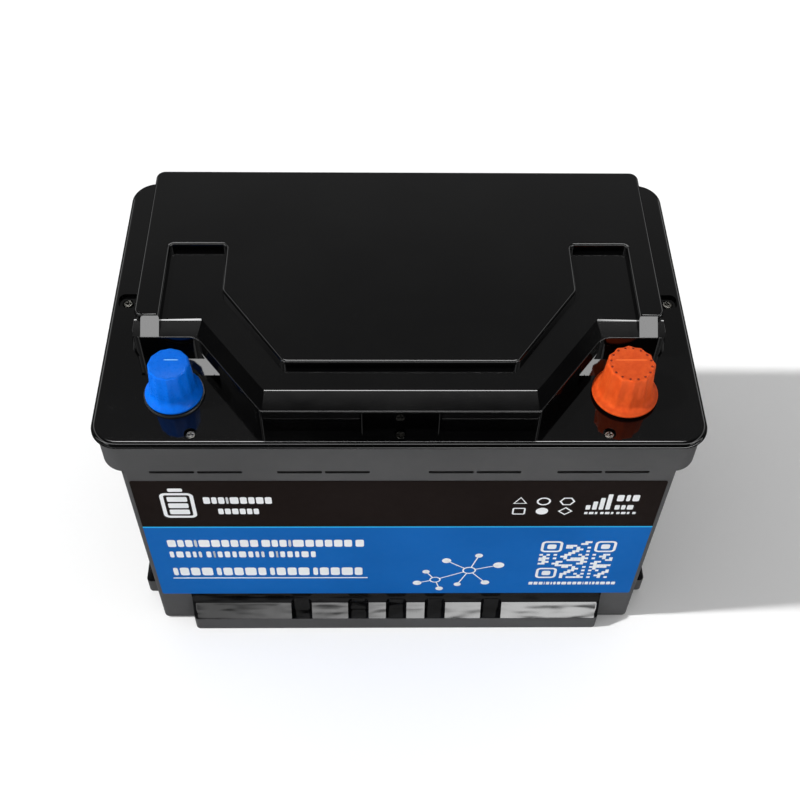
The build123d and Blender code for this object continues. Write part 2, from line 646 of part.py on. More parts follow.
# plate that holds the cells' terminal ends, with legs to the case's right wall
FRAME_T = 2.0
with BuildPart() as terminal_frame:
    with BuildSketch(Plane.YZ.offset(CAN_RIGHT)):
        with Locations((0, CELL_MID_Z)):
            RectangleRounded(2 * STACK_Y, CELL_Z - 4, 3)
        with Locations(*terminal_spots):
            RectangleRounded(19, 19, 3, mode=Mode.SUBTRACT)
        with Locations(*[(y, CELL_MID_Z) for y in cell_rows]):
            SlotOverall(24, 14, rotation=90, mode=Mode.SUBTRACT)
    extrude(amount=FRAME_T)
    with BuildSketch(Plane.YZ.offset(CAN_RIGHT + FRAME_T)):
        with Locations(*[(y, z) for y in (-STACK_Y + 5, STACK_Y - 5) for z in (18, 70)]):
            Circle(4)
    extrude(amount=BODY_X - WALL - CAN_RIGHT - FRAME_T)
save(terminal_frame.part, "terminal_frame")

# ---------------------------------------------------------------- cell connections
low_z = CELL_MID_Z - TERMINAL_DZ
high_z = CELL_MID_Z + TERMINAL_DZ
link_rows = [(0, low_z), (1, high_z), (2, low_z)]

with BuildPart() as series_busbars:
    for row, z in link_rows:
        with BuildSketch(Plane.YZ.offset(TERMINAL_FACE)):
            with Locations(((cell_rows[row] + cell_rows[row + 1]) / 2, z)):
                RectangleRounded(PITCH + 18, 18, 2)
            with Locations((cell_rows[row], z), (cell_rows[row + 1], z)):
                Circle(3.1, mode=Mode.SUBTRACT)
        extrude(amount=BUSBAR_T)
save(series_busbars.part, "series_busbars")

SENSE_X = TERMINAL_FACE + BUSBAR_T
SENSE_T = 0.8
sense_spots = [
    (cell_rows[0], high_z), (cell_rows[0], low_z), (cell_rows[1], high_z),
    (cell_rows[2], low_z), (cell_rows[3], high_z),
]
plain_spots = [spot for spot in terminal_spots if spot not in sense_spots]

with BuildPart() as sense_rings:
    with BuildSketch(Plane.YZ.offset(SENSE_X)):
        with Locations(*sense_spots):
            Circle(5.6)
        with Locations(*[(y + 7.5, z) for y, z in sense_spots]):
            Rectangle(8, 3)
        with Locations(*sense_spots):
            Circle(3.1, mode=Mode.SUBTRACT)
    extrude(amount=SENSE_T)
save(sense_rings.part, "sense_rings")

with BuildPart() as terminal_washers:
    with BuildSketch(Plane.YZ.offset(SENSE_X)):
        with Locations(*plain_spots):
            Circle(6.0)
            Circle(3.1, mode=Mode.SUBTRACT)
    extrude(amount=SENSE_T)
save(terminal_washers.part, "terminal_washers")

with BuildPart() as terminal_nuts:
    with BuildSketch(Plane.YZ.offset(SENSE_X + SENSE_T)):
        with Locations(*terminal_spots):
            RegularPolygon(5.0, 6, major_radius=False)
            Circle(3.05, mode=Mode.SUBTRACT)
    extrude(amount=5.0)
save(terminal_nuts.part, "terminal_nuts")

# ---------------------------------------------------------------- battery management system
BOARD_T = 1.6
BOARD_TOP = BOARD_Z + BOARD_T
standoffs = [(BOARD_MID_X + sx * (BOARD_X - 5), sy * (BOARD_Y - 5)) for sx in (-1, 1) for sy in (-1, 1)]

with BuildPart() as bms_tray:
    with BuildSketch(Plane.XY.offset(TRAY_Z)):
        with Locations((BOARD_MID_X - 5, 0)):
            RectangleRounded(190, 138, 4)
    extrude(amount=2.0)
    with BuildSketch(Plane.XY.offset(TRAY_Z + 2.0)):
        with Locations(*standoffs):
            Circle(3.5)
    extrude(amount=BOARD_Z - TRAY_Z - 2.0)
    with BuildSketch(Plane.XY.offset(BOARD_Z)):
        with Locations(*standoffs):
            Circle(1.3)
    extrude(amount=-5.0, mode=Mode.SUBTRACT)
save(bms_tray.part, "bms_tray")

with BuildPart() as bms_board:
    with BuildSketch(Plane.XY.offset(BOARD_Z)):
        with Locations((BOARD_MID_X, 0)):
            RectangleRounded(2 * BOARD_X, 2 * BOARD_Y, 2)
        with Locations(*standoffs):
            Circle(1.6, mode=Mode.SUBTRACT)
    extrude(amount=BOARD_T)
save(bms_board.part, "bms_board")

with BuildPart() as board_screws:
    with BuildSketch(Plane.XY.offset(BOARD_TOP)):
        with Locations(*standoffs):
            Circle(2.8)
    extrude(amount=1.8)
    with BuildSketch(Plane.XY.offset(BOARD_TOP)):
        with Locations(*standoffs):
            Circle(1.25)
    extrude(amount=-6.0)
save(board_screws.part, "board_screws")

MOSFET_H = 3.0
SINK_X = BOARD_MID_X + 4
with BuildPart() as mosfets:
    with Locations((SINK_X, 0, BOARD_TOP + MOSFET_H / 2)):
        with GridLocations(13.0, 30.0, 6, 2):
            Box(10.0, 12.0, MOSFET_H)
save(mosfets.part, "mosfets")

with BuildPart() as thermal_pad:
    with Locations((SINK_X, 0, BOARD_TOP + MOSFET_H + 0.25)):
        Box(78, 46, 0.5)
save(thermal_pad.part, "thermal_pad")

SINK_Z = BOARD_TOP + MOSFET_H + 0.5
with BuildPart() as heat_sink:
    with Locations((SINK_X, 0, SINK_Z + 1.25)):
        Box(78, 46, 2.5)
    with Locations((SINK_X, 0, SINK_Z + 4.75)):
        with GridLocations(78 / 13, 1, 13, 1):
            Box(1.4, 46, 4.5)
save(heat_sink.part, "heat_sink")

with BuildPart() as shunt_resistors:
    with Locations((BOARD_MID_X - 6, -34, BOARD_TOP + 0.8)):
        with GridLocations(10.0, 1, 4, 1):
            Box(6.5, 3.2, 1.6)
save(shunt_resistors.part, "shunt_resistors")

with BuildPart() as control_chips:
    with Locations((BOARD_MID_X + 52, -7, BOARD_TOP + 0.6)):
        Box(9, 9, 1.2)
    with Locations((BOARD_MID_X + 52, 6, BOARD_TOP + 0.5)):
        Box(5, 6, 1.0)
    with Locations((BOARD_MID_X - 20, 34, BOARD_TOP + 0.5)):
        Box(7, 5, 1.0)
save(control_chips.part, "control_chips")

with BuildPart() as capacitors:
    with BuildSketch(Plane.XY.offset(BOARD_TOP)):
        with Locations(*[(BOARD_MID_X + 20 + 9 * i, -37) for i in range(2)]):
            Circle(3.2)
    extrude(amount=8.0)
    fillet(capacitors.faces().filter_by(lambda f: f.center().Z > BOARD_TOP + 7.9).edges(), 0.5)
save(capacitors.part, "capacitors")

with BuildPart() as bluetooth_module:
    with Locations((BOARD_MID_X + 2, 35.5, BOARD_TOP + 0.4)):
        Box(24, 13, 0.8)
    with Locations((BOARD_MID_X - 1, 35.5, BOARD_TOP + 1.8)):
        Box(14, 11, 2.0)
save(bluetooth_module.part, "bluetooth_module")

SOCKET_X = BOARD_MID_X + BOARD_X - 5
SOCKET_Y = 23.0
with BuildPart() as balance_connector:
    with Locations((SOCKET_X, SOCKET_Y, BOARD_TOP + 3.0)):
        Box(7.0, 19.0, 6.0)
    with Locations((SOCKET_X + 3.5, SOCKET_Y, BOARD_TOP + 3.2)):
        with GridLocations(1, 3.0, 1, 6):
            Box(5.0, 2.0, 2.0, mode=Mode.SUBTRACT)
save(balance_connector.part, "balance_connector")

# screw blocks for the two heavy cables
BLOCK_H = 5.0
CELL_SIDE = (BOARD_MID_X + BOARD_X - 9, -24.0)
POST_SIDE = (BOARD_MID_X - BOARD_X + 16, 12.0)
with BuildPart() as power_blocks:
    with Locations((*CELL_SIDE, BOARD_TOP + BLOCK_H / 2), (*POST_SIDE, BOARD_TOP + BLOCK_H / 2)):
        Box(14, 14, BLOCK_H)
    with BuildSketch(Plane.XY.offset(BOARD_TOP + BLOCK_H)):
        with Locations(CELL_SIDE, POST_SIDE):
            Circle(2.5)
    extrude(amount=-4.5, mode=Mode.SUBTRACT)
save(power_blocks.part, "power_blocks")

# ---------------------------------------------------------------- heavy cables and their lugs
CABLE_R = 4.0
BARREL_R = 5.0
BARREL_L = 15.0
BARREL_START = 13.0  # from a lug's stud to its barrel
POST_BARREL = 17.0  # the same on the posts' larger lugs
block_top = BOARD_TOP + BLOCK_H

# a lug is a ring on its stud, a neck and a barrel crimped on the cable
with BuildPart() as cable_lugs:
    # upright, on the two free cell terminals
    for y in (cell_rows[0], cell_rows[-1]):
        with BuildSketch(Plane.YZ.offset(TERMINAL_FACE)):
            with Locations((y, high_z)):
                Circle(8.0)
            with Locations((y, high_z + 8.0)):
                Rectangle(9.0, 12.0)
            with Locations((y, high_z)):
                Circle(3.1, mode=Mode.SUBTRACT)
        extrude(amount=BUSBAR_T)
        with BuildSketch(Plane.XY.offset(high_z + BARREL_START)):
            with Locations((TERMINAL_FACE + 4.0, y)):
                Circle(BARREL_R)
        extrude(amount=BARREL_L)
    # flat, on the screw blocks
    for (x, y), side in ((CELL_SIDE, 1), (POST_SIDE, -1)):
        with BuildSketch(Plane.XY.offset(block_top)):
            with Locations((x, y)):
                Circle(6.5)
            with Locations((x + side * 8.0, y)):
                Rectangle(12.0, 9.0)
            with Locations((x, y)):
                Circle(2.6, mode=Mode.SUBTRACT)
        extrude(amount=LUG_T)
        with BuildSketch(Plane.YZ.offset(x + side * BARREL_START)):
            with Locations((y, block_top + BARREL_R - 0.5)):
                Circle(BARREL_R)
        extrude(amount=side * BARREL_L)
    # flat, under the lid, on the posts' studs
    for x, y in POST_SPOTS:
        with BuildSketch(Plane.XY.offset(LUG_LEVEL)):
            with Locations((x, y)):
                Circle(10.0)
            with Locations((x, y + 12.0)):
                Rectangle(9.0, 12.0)
            with Locations((x, y)):
                Circle(STUD_R + 0.1, mode=Mode.SUBTRACT)
        extrude(amount=-LUG_T)
        with BuildSketch(Plane.XZ.offset(-y - POST_BARREL)):
            with Locations((x, LUG_LEVEL - LUG_T / 2)):
                Circle(BARREL_R)
        extrude(amount=-BARREL_L)
save(cable_lugs.part, "cable_lugs")

with BuildPart() as lug_screws:
    with BuildSketch(Plane.XY.offset(block_top + LUG_T)):
        with Locations(CELL_SIDE, POST_SIDE):
            RegularPolygon(4.2, 6, major_radius=False)
    extrude(amount=3.0)
    with BuildSketch(Plane.XY.offset(block_top + LUG_T)):
        with Locations(CELL_SIDE, POST_SIDE):
            Circle(2.45)
    extrude(amount=-6.5)
save(lug_screws.part, "lug_screws")

upright_x = TERMINAL_FACE + 4.0
upright_z = high_z + BARREL_START + BARREL_L
flat_z = block_top + BARREL_R - 0.5
post_lug_y = POST_Y + POST_BARREL + BARREL_L
post_lug_z = LUG_LEVEL - LUG_T / 2
cell_side_end = CELL_SIDE[0] + BARREL_START + BARREL_L
post_side_end = POST_SIDE[0] - BARREL_START - BARREL_L

cell_negative_route = [
    (upright_x, cell_rows[0], upright_z),
    (upright_x, cell_rows[0], flat_z),
    (upright_x, CELL_SIDE[1], flat_z),
    (cell_side_end, CELL_SIDE[1], flat_z),
]
pack_negative_route = [
    (-POST_X, post_lug_y, post_lug_z),
    (-POST_X, post_lug_y + 14, post_lug_z),
    (-POST_X, POST_SIDE[1], flat_z),
    (post_side_end, POST_SIDE[1], flat_z),
]
positive_route = [
    (upright_x, cell_rows[-1], upright_z),
    (upright_x, cell_rows[-1], post_lug_z - 3),
    (POST_X, 30.0, post_lug_z),
    (POST_X, post_lug_y, post_lug_z),
]
heavy_cables = {
    "cell_negative_cable": cell_negative_route,
    "pack_negative_cable": pack_negative_route,
    "positive_cable": positive_route,
}
for name, route in heavy_cables.items():
    with BuildPart() as cable:
        with BuildLine() as path:
            FilletPolyline(*route, radius=9.5)
        with BuildSketch(Plane(origin=path.line @ 0, z_dir=path.line % 0)):
            Circle(CABLE_R)
        sweep()
    save(cable.part, name)

# ---------------------------------------------------------------- sensing leads
LEAD_R = 0.8
LEAD_Z = BOARD_TOP + 3.2
LEAD_START = SOCKET_X + 1.2
near_x = SENSE_X + SENSE_T + LEAD_R + 0.05
far_x = near_x + 2.3

with BuildPart() as sense_leads:
    for slot, (y, z) in enumerate(sense_spots):
        slot_y = SOCKET_Y + (slot - 2.5) * 3.0
        turn_x = SOCKET_X + 12.0 + 2.5 * min(slot, 4 - slot)  # staggered, so that the leads keep apart
        drop_x = near_x if z == high_z else far_x
        drop_y = y + 9.5
        with BuildLine() as path:
            FilletPolyline(
                (LEAD_START, slot_y, LEAD_Z), (turn_x, slot_y, LEAD_Z),
                (drop_x, drop_y, LEAD_Z), (drop_x, drop_y, z), radius=4.0,
            )
        with BuildSketch(Plane(origin=path.line @ 0, z_dir=path.line % 0)):
            Circle(LEAD_R)
        sweep()
save(sense_leads.part, "sense_leads")

BEAD_R = 1.6
BEAD_X = CAN_RIGHT + FRAME_T + BEAD_R + 0.1
BEAD_Z = high_z + 23.0
with BuildPart() as temperature_sensor:
    with BuildLine() as path:
        FilletPolyline(
            (BEAD_X, 0, BEAD_Z), (BEAD_X, 0, LEAD_Z - 5.5), (SOCKET_X + 13, SOCKET_Y + 7.5, LEAD_Z - 5.5),
            (SOCKET_X + 8, SOCKET_Y + 7.5, LEAD_Z), (LEAD_START, SOCKET_Y + 7.5, LEAD_Z), radius=2.0,
        )
    with BuildSketch(Plane(origin=path.line @ 0, z_dir=path.line % 0)):
        Circle(0.6)
    sweep()
    with Locations((BEAD_X, 0, BEAD_Z)):
        Sphere(BEAD_R)
save(temperature_sensor.part, "temperature_sensor")
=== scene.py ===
import json
from math import atan2, cos, hypot, pi, radians, sin

import bmesh
import bpy
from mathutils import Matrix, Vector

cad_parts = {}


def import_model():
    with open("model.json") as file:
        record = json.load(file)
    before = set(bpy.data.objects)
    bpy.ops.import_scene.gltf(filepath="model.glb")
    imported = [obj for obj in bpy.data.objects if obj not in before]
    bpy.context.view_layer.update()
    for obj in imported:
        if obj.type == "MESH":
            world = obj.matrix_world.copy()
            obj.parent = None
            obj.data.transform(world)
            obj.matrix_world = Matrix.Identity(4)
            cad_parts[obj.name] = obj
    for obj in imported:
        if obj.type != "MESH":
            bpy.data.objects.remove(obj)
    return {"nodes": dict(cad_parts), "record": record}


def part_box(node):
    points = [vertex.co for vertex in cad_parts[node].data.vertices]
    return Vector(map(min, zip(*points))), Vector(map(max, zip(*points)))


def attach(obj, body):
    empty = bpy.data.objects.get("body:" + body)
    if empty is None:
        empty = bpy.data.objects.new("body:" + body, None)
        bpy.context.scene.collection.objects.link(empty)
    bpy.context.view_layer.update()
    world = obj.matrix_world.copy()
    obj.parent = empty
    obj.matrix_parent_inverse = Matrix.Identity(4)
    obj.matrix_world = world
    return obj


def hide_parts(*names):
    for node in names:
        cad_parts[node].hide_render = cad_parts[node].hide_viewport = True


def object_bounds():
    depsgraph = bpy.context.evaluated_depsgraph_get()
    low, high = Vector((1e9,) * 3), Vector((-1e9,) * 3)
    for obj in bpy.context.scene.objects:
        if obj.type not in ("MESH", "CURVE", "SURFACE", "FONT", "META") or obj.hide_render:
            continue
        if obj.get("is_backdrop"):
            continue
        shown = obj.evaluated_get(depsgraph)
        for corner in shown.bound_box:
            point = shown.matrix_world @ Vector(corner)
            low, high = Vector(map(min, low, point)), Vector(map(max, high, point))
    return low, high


# Looks of the deep cycle battery: glossy black lid, satin case, printed label, blue and orange terminal caps.
# Lengths are in metres; MM turns millimetres into metres.

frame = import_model()
cad_low, cad_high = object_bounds()
MM = 0.001
ROOT = "battery"


# ---------------------------------------------------------------- node helpers
class Graph:
    """A node tree, with short ways to add the nodes that repeat."""

    def __init__(self, tree):
        self.tree = tree

    def add(self, kind, **inputs):
        node = self.tree.nodes.new(kind)
        for key, value in inputs.items():
            self.put(value, node.inputs[key.replace("_", " ")])
        return node

    def put(self, value, socket):
        if isinstance(value, bpy.types.NodeSocket):
            self.tree.links.new(value, socket)
        else:
            socket.default_value = value

    def spread(self, value, low, high, start=0.3, end=0.7):
        """Map value from start..end to low..high, smoothly and with its ends held."""
        node = self.add("ShaderNodeMapRange")
        node.interpolation_type = "SMOOTHSTEP"
        for slot, number in enumerate((value, start, end, low, high)):
            self.put(number, node.inputs[slot])
        return node.outputs[0]

    def math(self, operation, first, second=0.0):
        node = self.tree.nodes.new("ShaderNodeMath")
        node.operation = operation
        self.put(first, node.inputs[0])
        self.put(second, node.inputs[1])
        return node.outputs[0]

    def times(self, *factors):
        product = factors[0]
        for factor in factors[1:]:
            product = self.math("MULTIPLY", product, factor)
        return product

    def band(self, value, low, high, soft):
        """1 between low and high, 0 outside, with soft edges."""
        rise = self.spread(value, 0.0, 1.0, low - soft, low + soft)
        return self.times(rise, self.spread(value, 1.0, 0.0, high - soft, high + soft))


class Nodes(Graph):
    """A material's node tree."""

    def __init__(self, name):
        self.material = bpy.data.materials.new(name)
        self.material.use_nodes = True
        super().__init__(self.material.node_tree)
        self.shader = self.tree.nodes["Principled BSDF"]
        self.coords = self.tree.nodes.new("ShaderNodeTexCoord").outputs["Object"]

    def noise(self, size, detail=3.0, stretch=(1, 1, 1)):
        """Noise whose blobs are about size metres across, drawn out along an axis by a stretch below 1."""
        mapping = self.add("ShaderNodeMapping", Vector=self.coords, Scale=stretch)
        node = self.add("ShaderNodeTexNoise", Vector=mapping.outputs[0], Scale=1 / size, Detail=detail)
        return node.outputs[0]

    def blend(self, factor, first, second):
        node = self.tree.nodes.new("ShaderNodeMix")
        node.data_type = "RGBA"
        self.put(factor, node.inputs[0])
        for value, socket in ((first, node.inputs[6]), (second, node.inputs[7])):
            self.put((*value, 1.0) if isinstance(value, tuple) else value, socket)
        return node.outputs[2]

    def bump(self, layers):
        """Stack bumps; each layer is a height, a distance in metres and a strength."""
        normal = None
        for height, distance, strength in layers:
            node = self.add("ShaderNodeBump", Height=height, Distance=distance, Strength=strength)
            if normal:
                self.put(normal, node.inputs["Normal"])
            normal = node.outputs[0]
        self.put(normal, self.shader.inputs["Normal"])

    def set(self, **inputs):
        for key, value in inputs.items():
            full = (*value, 1.0) if isinstance(value, tuple) else value
            self.put(full, self.shader.inputs[key.replace("_", " ")])
        return self.material


def surface(name, dark, light, rough, grain, bump=0.3, patch=25 * MM, stretch=(1, 1, 1), **shader):
    """A material with a fine grain, patches of slightly different colour, and uneven gloss."""
    n = Nodes(name)
    fine = n.noise(grain, 2.0, stretch)
    broad = n.noise(patch, 4.0, stretch)
    n.set(Base_Color=n.blend(n.spread(broad, 0.0, 1.0), dark, light))
    n.set(Roughness=n.spread(n.noise(patch / 3, 3.0, stretch), *rough))
    n.bump([(fine, grain / 8, bump)])
    return n.set(**shader)


# ---------------------------------------------------------------- materials
RAIL_LOW, RAIL_HIGH = 10.7 * MM, 22.7 * MM  # the rails and ledges are polished between these heights
POLISH_EDGE = 0.1 * MM
STRIP_HIGH = 27.6 * MM  # in front the polish goes on up to here, below the label
RAIL_X, RAIL_Y = 110.6 * MM, 78 * MM  # half length of the rails, and where they begin
LEDGE_X, LEDGE_Y = 127 * MM, 64.1 * MM  # the same of the ledges at the ends, the other way round
VENT_LOW, VENT_HIGH = 144 * MM, 146.3 * MM
VENT_FLOOR = 83.0 * MM  # the vents' floors lie inside this half depth


def case_material():
    """Satin dark grey plastic with a fine texture; the rails and ledges are polished, and the insides of the
    vents get painted shade, near black.
    """
    n = Nodes("case_plastic")
    place = n.add("ShaderNodeSeparateXYZ", Vector=n.coords).outputs
    half_x, half_y = n.math("ABSOLUTE", place[0]), n.math("ABSOLUTE", place[1])
    rails = n.times(n.band(place[2], RAIL_LOW, RAIL_HIGH, POLISH_EDGE),
                    n.math("LESS_THAN", half_x, RAIL_X), n.math("GREATER_THAN", half_y, RAIL_Y))
    strip = n.times(n.band(place[2], RAIL_LOW, STRIP_HIGH, POLISH_EDGE),
                    n.math("LESS_THAN", half_x, RAIL_X), n.math("LESS_THAN", place[1], -RAIL_Y))
    ledges = n.times(n.band(place[2], RAIL_LOW, RAIL_HIGH, POLISH_EDGE),
                     n.math("GREATER_THAN", half_x, LEDGE_X), n.math("LESS_THAN", half_y, LEDGE_Y))
    polished = n.math("MAXIMUM", n.math("MAXIMUM", rails, ledges), strip)
    # painted shade: the faces inside the vents' recesses are coloured near black
    vent_shade = n.times(n.math("LESS_THAN", half_y, VENT_FLOOR), n.math("GREATER_THAN", place[2], VENT_LOW),
                   n.math("LESS_THAN", place[2], VENT_HIGH))
    broad = n.noise(70 * MM, 3.0)
    colour = n.blend(n.spread(broad, 0.0, 1.0), (0.070, 0.070, 0.072), (0.082, 0.082, 0.084))
    colour = n.blend(polished, colour, (0.004, 0.004, 0.0045))
    colour = n.blend(vent_shade, colour, (0.001, 0.001, 0.001))
    satin = n.spread(n.noise(9 * MM, 4.0), 0.50, 0.60)
    gloss = n.spread(n.noise(14 * MM, 3.0), 0.05, 0.10)
    mixer = n.add("ShaderNodeMix")
    for value, socket in ((polished, 0), (satin, 2), (gloss, 3)):
        n.put(value, mixer.inputs[socket])
    n.set(Base_Color=colour, Roughness=mixer.outputs[0])
    grain = n.times(n.noise(0.45 * MM, 2.0), n.spread(polished, 1.0, 0.0, 0.0, 1.0))
    ripple = n.times(n.noise(13 * MM, 1.5, (0.35, 1, 1)), polished)
    n.bump([(grain, 0.05 * MM, 0.35), (n.noise(16 * MM, 2.0), 0.35 * MM, 0.2), (ripple, 0.9 * MM, 0.65)])
    return n.set(Specular_IOR_Level=0.3)


def lid_material():
    """Polished black plastic: faint sink and flow waves, light dust and hairline scuffs."""
    n = Nodes("lid_plastic")
    dust = n.spread(n.noise(1.1 * MM, 6.0), 0.0, 1.0, 0.62, 0.78)
    haze = n.spread(n.noise(45 * MM, 3.0), 0.0, 1.0)
    scuffs = n.spread(n.noise(0.8 * MM, 3.0, (1, 0.04, 1)), 0.0, 1.0, 0.66, 0.74)
    colour = n.blend(haze, (0.0010, 0.0010, 0.0011), (0.0018, 0.0018, 0.0019))
    colour = n.blend(n.math("MULTIPLY", dust, 0.06), colour, (0.05, 0.05, 0.05))
    rough = n.math("ADD", n.spread(haze, 0.045, 0.08, 0.0, 1.0), n.math("MULTIPLY", scuffs, 0.05))
    n.set(Base_Color=colour, Roughness=rough)
    n.bump([(n.noise(22 * MM, 2.0), 0.5 * MM, 0.05), (n.noise(0.5 * MM, 2.0), 0.01 * MM, 0.15)])
    return n.material


LABEL_LINE_Z = 96.9 * MM
LABEL_LINE_W = 1.1 * MM


def label_material():
    """Printed film: near-black band over a blue one, with a thin pale blue line between them."""
    n = Nodes("label_film")
    height = n.add("ShaderNodeSeparateXYZ", Vector=n.coords).outputs[2]
    upper = n.math("GREATER_THAN", height, LABEL_LINE_Z)
    from_line = n.math("ABSOLUTE", n.math("SUBTRACT", height, LABEL_LINE_Z))
    line = n.math("LESS_THAN", from_line, LABEL_LINE_W / 2)
    tint = n.spread(n.noise(60 * MM, 2.0), 0.0, 1.0)
    blue = n.blend(tint, (0.004, 0.120, 0.44), (0.006, 0.136, 0.49))
    dark = n.blend(tint, (0.0125, 0.0085, 0.0075), (0.015, 0.0105, 0.0095))
    colour = n.blend(line, n.blend(upper, blue, dark), (0.03, 0.46, 0.85))
    n.set(Base_Color=colour, Roughness=n.spread(n.noise(5 * MM, 4.0), 0.42, 0.52))
    n.bump([(n.noise(30 * MM, 2.0), 0.2 * MM, 0.08), (n.noise(0.3 * MM, 2.0), 0.01 * MM, 0.2)])
    return n.set(Specular_IOR_Level=0.03)


DASH_Y = -55 * MM  # the caps' painted highlight dashes lie along this line
DASH_W = 0.5 * MM
CAPS_HIGH = 190 * MM  # only the caps' tops are above this


def cap_material(name, dark, light, rough, texture, dash_x, dash_length, dash_highlight_colour):
    """Soft moulded plastic, slightly mottled, with a fine vertical flow, a painted highlight dash on the top,
    and painted shade that makes the top a little darker than the sides."""
    n = Nodes(name)
    mottle = n.noise(2.2 * MM, 4.0, (1, 1, 0.35))
    colour = n.blend(n.spread(mottle, 0.0, 1.0), dark, light)
    place = n.add("ShaderNodeSeparateXYZ", Vector=n.coords).outputs
    # painted highlight: a short lighter dash across the top stands for the light caught by a moulding mark
    highlight_dash = n.times(n.band(place[0], dash_x - dash_length / 2, dash_x + dash_length / 2, 0.6 * MM),
                   n.band(place[1], DASH_Y - DASH_W / 2, DASH_Y + DASH_W / 2, 0.15 * MM),
                   n.math("GREATER_THAN", place[2], CAPS_HIGH))
    # painted shade: faces pointing up, towards the light, are made up to 28% darker
    facing = n.add("ShaderNodeSeparateXYZ", Vector=n.add("ShaderNodeTexCoord").outputs["Normal"]).outputs[2]
    colour = n.blend(n.spread(facing, 0.0, 0.28, 0.6, 0.95), colour, (0.0, 0.0, 0.0))
    n.set(Base_Color=n.blend(highlight_dash, colour, dash_highlight_colour))
    n.set(Roughness=n.spread(n.noise(1.2 * MM, 3.0), *rough))
    flow, grain = n.noise(0.9 * MM, 3.0, (1, 1, 0.3)), n.noise(0.25 * MM, 2.0)
    n.bump([(flow, 0.08 * MM, texture), (grain, 0.02 * MM, texture)])
    return n.set(Subsurface_Weight=0.05, Subsurface_Scale=1 * MM, Specular_IOR_Level=0.15)


RING_LOW, RING_HIGH = 169.05 * MM, 171.05 * MM  # the post's flange ring


def post_material():
    """Tinned metal post; its flange ring is covered by dark moulded plastic."""
    n = Nodes("post_metal")
    height = n.add("ShaderNodeSeparateXYZ", Vector=n.coords).outputs[2]
    ring = n.times(n.math("LESS_THAN", height, RING_HIGH), n.math("GREATER_THAN", height, RING_LOW))
    metal = n.blend(n.spread(n.noise(3 * MM, 4.0), 0.0, 1.0), (0.50, 0.50, 0.49), (0.66, 0.65, 0.63))
    n.set(Base_Color=n.blend(ring, metal, (0.006, 0.006, 0.006)), Metallic=n.math("SUBTRACT", 1.0, ring))
    n.set(Roughness=n.spread(n.noise(1 * MM, 3.0), 0.28, 0.42))
    n.bump([(n.noise(0.3 * MM, 2.0), 0.04 * MM, 0.3)])
    return n.material


BLUE = (0.0008, 0.155, 0.82), (0.0015, 0.180, 0.90)  # from dark to light
ORANGE = (0.72, 0.080, 0.012), (0.82, 0.110, 0.018)

materials = {
    "case_plastic": case_material(),
    "lid_plastic": lid_material(),
    "label_film": label_material(),
    "blue_plastic": cap_material("blue_plastic", *BLUE, rough=(0.26, 0.34), texture=0.1,
                                 dash_x=-102 * MM, dash_length=6 * MM, dash_highlight_colour=(0.25, 0.55, 0.85)),
    "orange_plastic": cap_material("orange_plastic", *ORANGE, rough=(0.44, 0.56), texture=0.3,
                                   dash_x=103 * MM, dash_length=14 * MM, dash_highlight_colour=(0.86, 0.16, 0.035)),
    "post_metal": post_material(),
}

# plain materials: dark and light colour, lowest and highest roughness, size of the grain, what else differs
PLAIN = {
    "steel": ((0.06, 0.06, 0.055), (0.15, 0.145, 0.13), (0.24, 0.38), 0.2 * MM,
              dict(patch=2 * MM, Metallic=1.0, Anisotropic=0.4)),
    "brass": ((0.62, 0.42, 0.16), (0.76, 0.56, 0.26), (0.2, 0.35), 0.2 * MM,
              dict(patch=4 * MM, Metallic=1.0)),
    "copper": ((0.68, 0.36, 0.23), (0.80, 0.47, 0.32), (0.2, 0.4), 0.3 * MM,
               dict(patch=5 * MM, Metallic=1.0)),
    "terminal_alloy": ((0.66, 0.66, 0.67), (0.80, 0.80, 0.80), (0.25, 0.4), 0.4 * MM,
                       dict(patch=6 * MM, stretch=(1, 0.1, 1), Metallic=1.0)),
    "cell_can": ((0.02, 0.09, 0.36), (0.03, 0.13, 0.45), (0.25, 0.35), 0.5 * MM, dict(patch=30 * MM)),
    "rubber_seal": ((0.012, 0.012, 0.012), (0.024, 0.024, 0.024), (0.7, 0.85), 0.2 * MM, {}),
    "foam": ((0.04, 0.04, 0.04), (0.08, 0.08, 0.08), (0.85, 0.95), 0.9 * MM, dict(bump=0.8)),
    "insulating_sheet": ((0.70, 0.70, 0.62), (0.80, 0.80, 0.73), (0.4, 0.5), 0.5 * MM, {}),
    "glass_epoxy": ((0.20, 0.36, 0.16), (0.28, 0.45, 0.23), (0.45, 0.6), 0.4 * MM,
                    dict(stretch=(1, 0.2, 1))),
    "strap_band": ((0.05, 0.26, 0.07), (0.09, 0.36, 0.12), (0.5, 0.6), 0.8 * MM,
                   dict(stretch=(0.2, 1, 1))),
    "circuit_board": ((0.008, 0.14, 0.045), (0.02, 0.22, 0.08), (0.3, 0.4), 0.6 * MM, dict(patch=4 * MM)),
    "chip_black": ((0.012, 0.012, 0.012), (0.025, 0.025, 0.025), (0.5, 0.6), 0.15 * MM, {}),
    "thermal_grey": ((0.33, 0.35, 0.38), (0.42, 0.44, 0.47), (0.7, 0.8), 0.4 * MM, {}),
    "connector_white": ((0.74, 0.72, 0.66), (0.84, 0.82, 0.76), (0.4, 0.5), 0.3 * MM, {}),
    "cable_black": ((0.010, 0.010, 0.010), (0.022, 0.022, 0.022), (0.5, 0.6), 0.4 * MM, {}),
    "cable_red": ((0.50, 0.015, 0.012), (0.62, 0.03, 0.025), (0.5, 0.6), 0.4 * MM, {}),
    "lead_insulation": ((0.03, 0.03, 0.03), (0.07, 0.07, 0.07), (0.5, 0.6), 0.3 * MM, {}),
}
for slot, (dark, light, rough, grain, other) in PLAIN.items():
    materials[slot] = surface(slot, dark, light, rough, grain, **other)

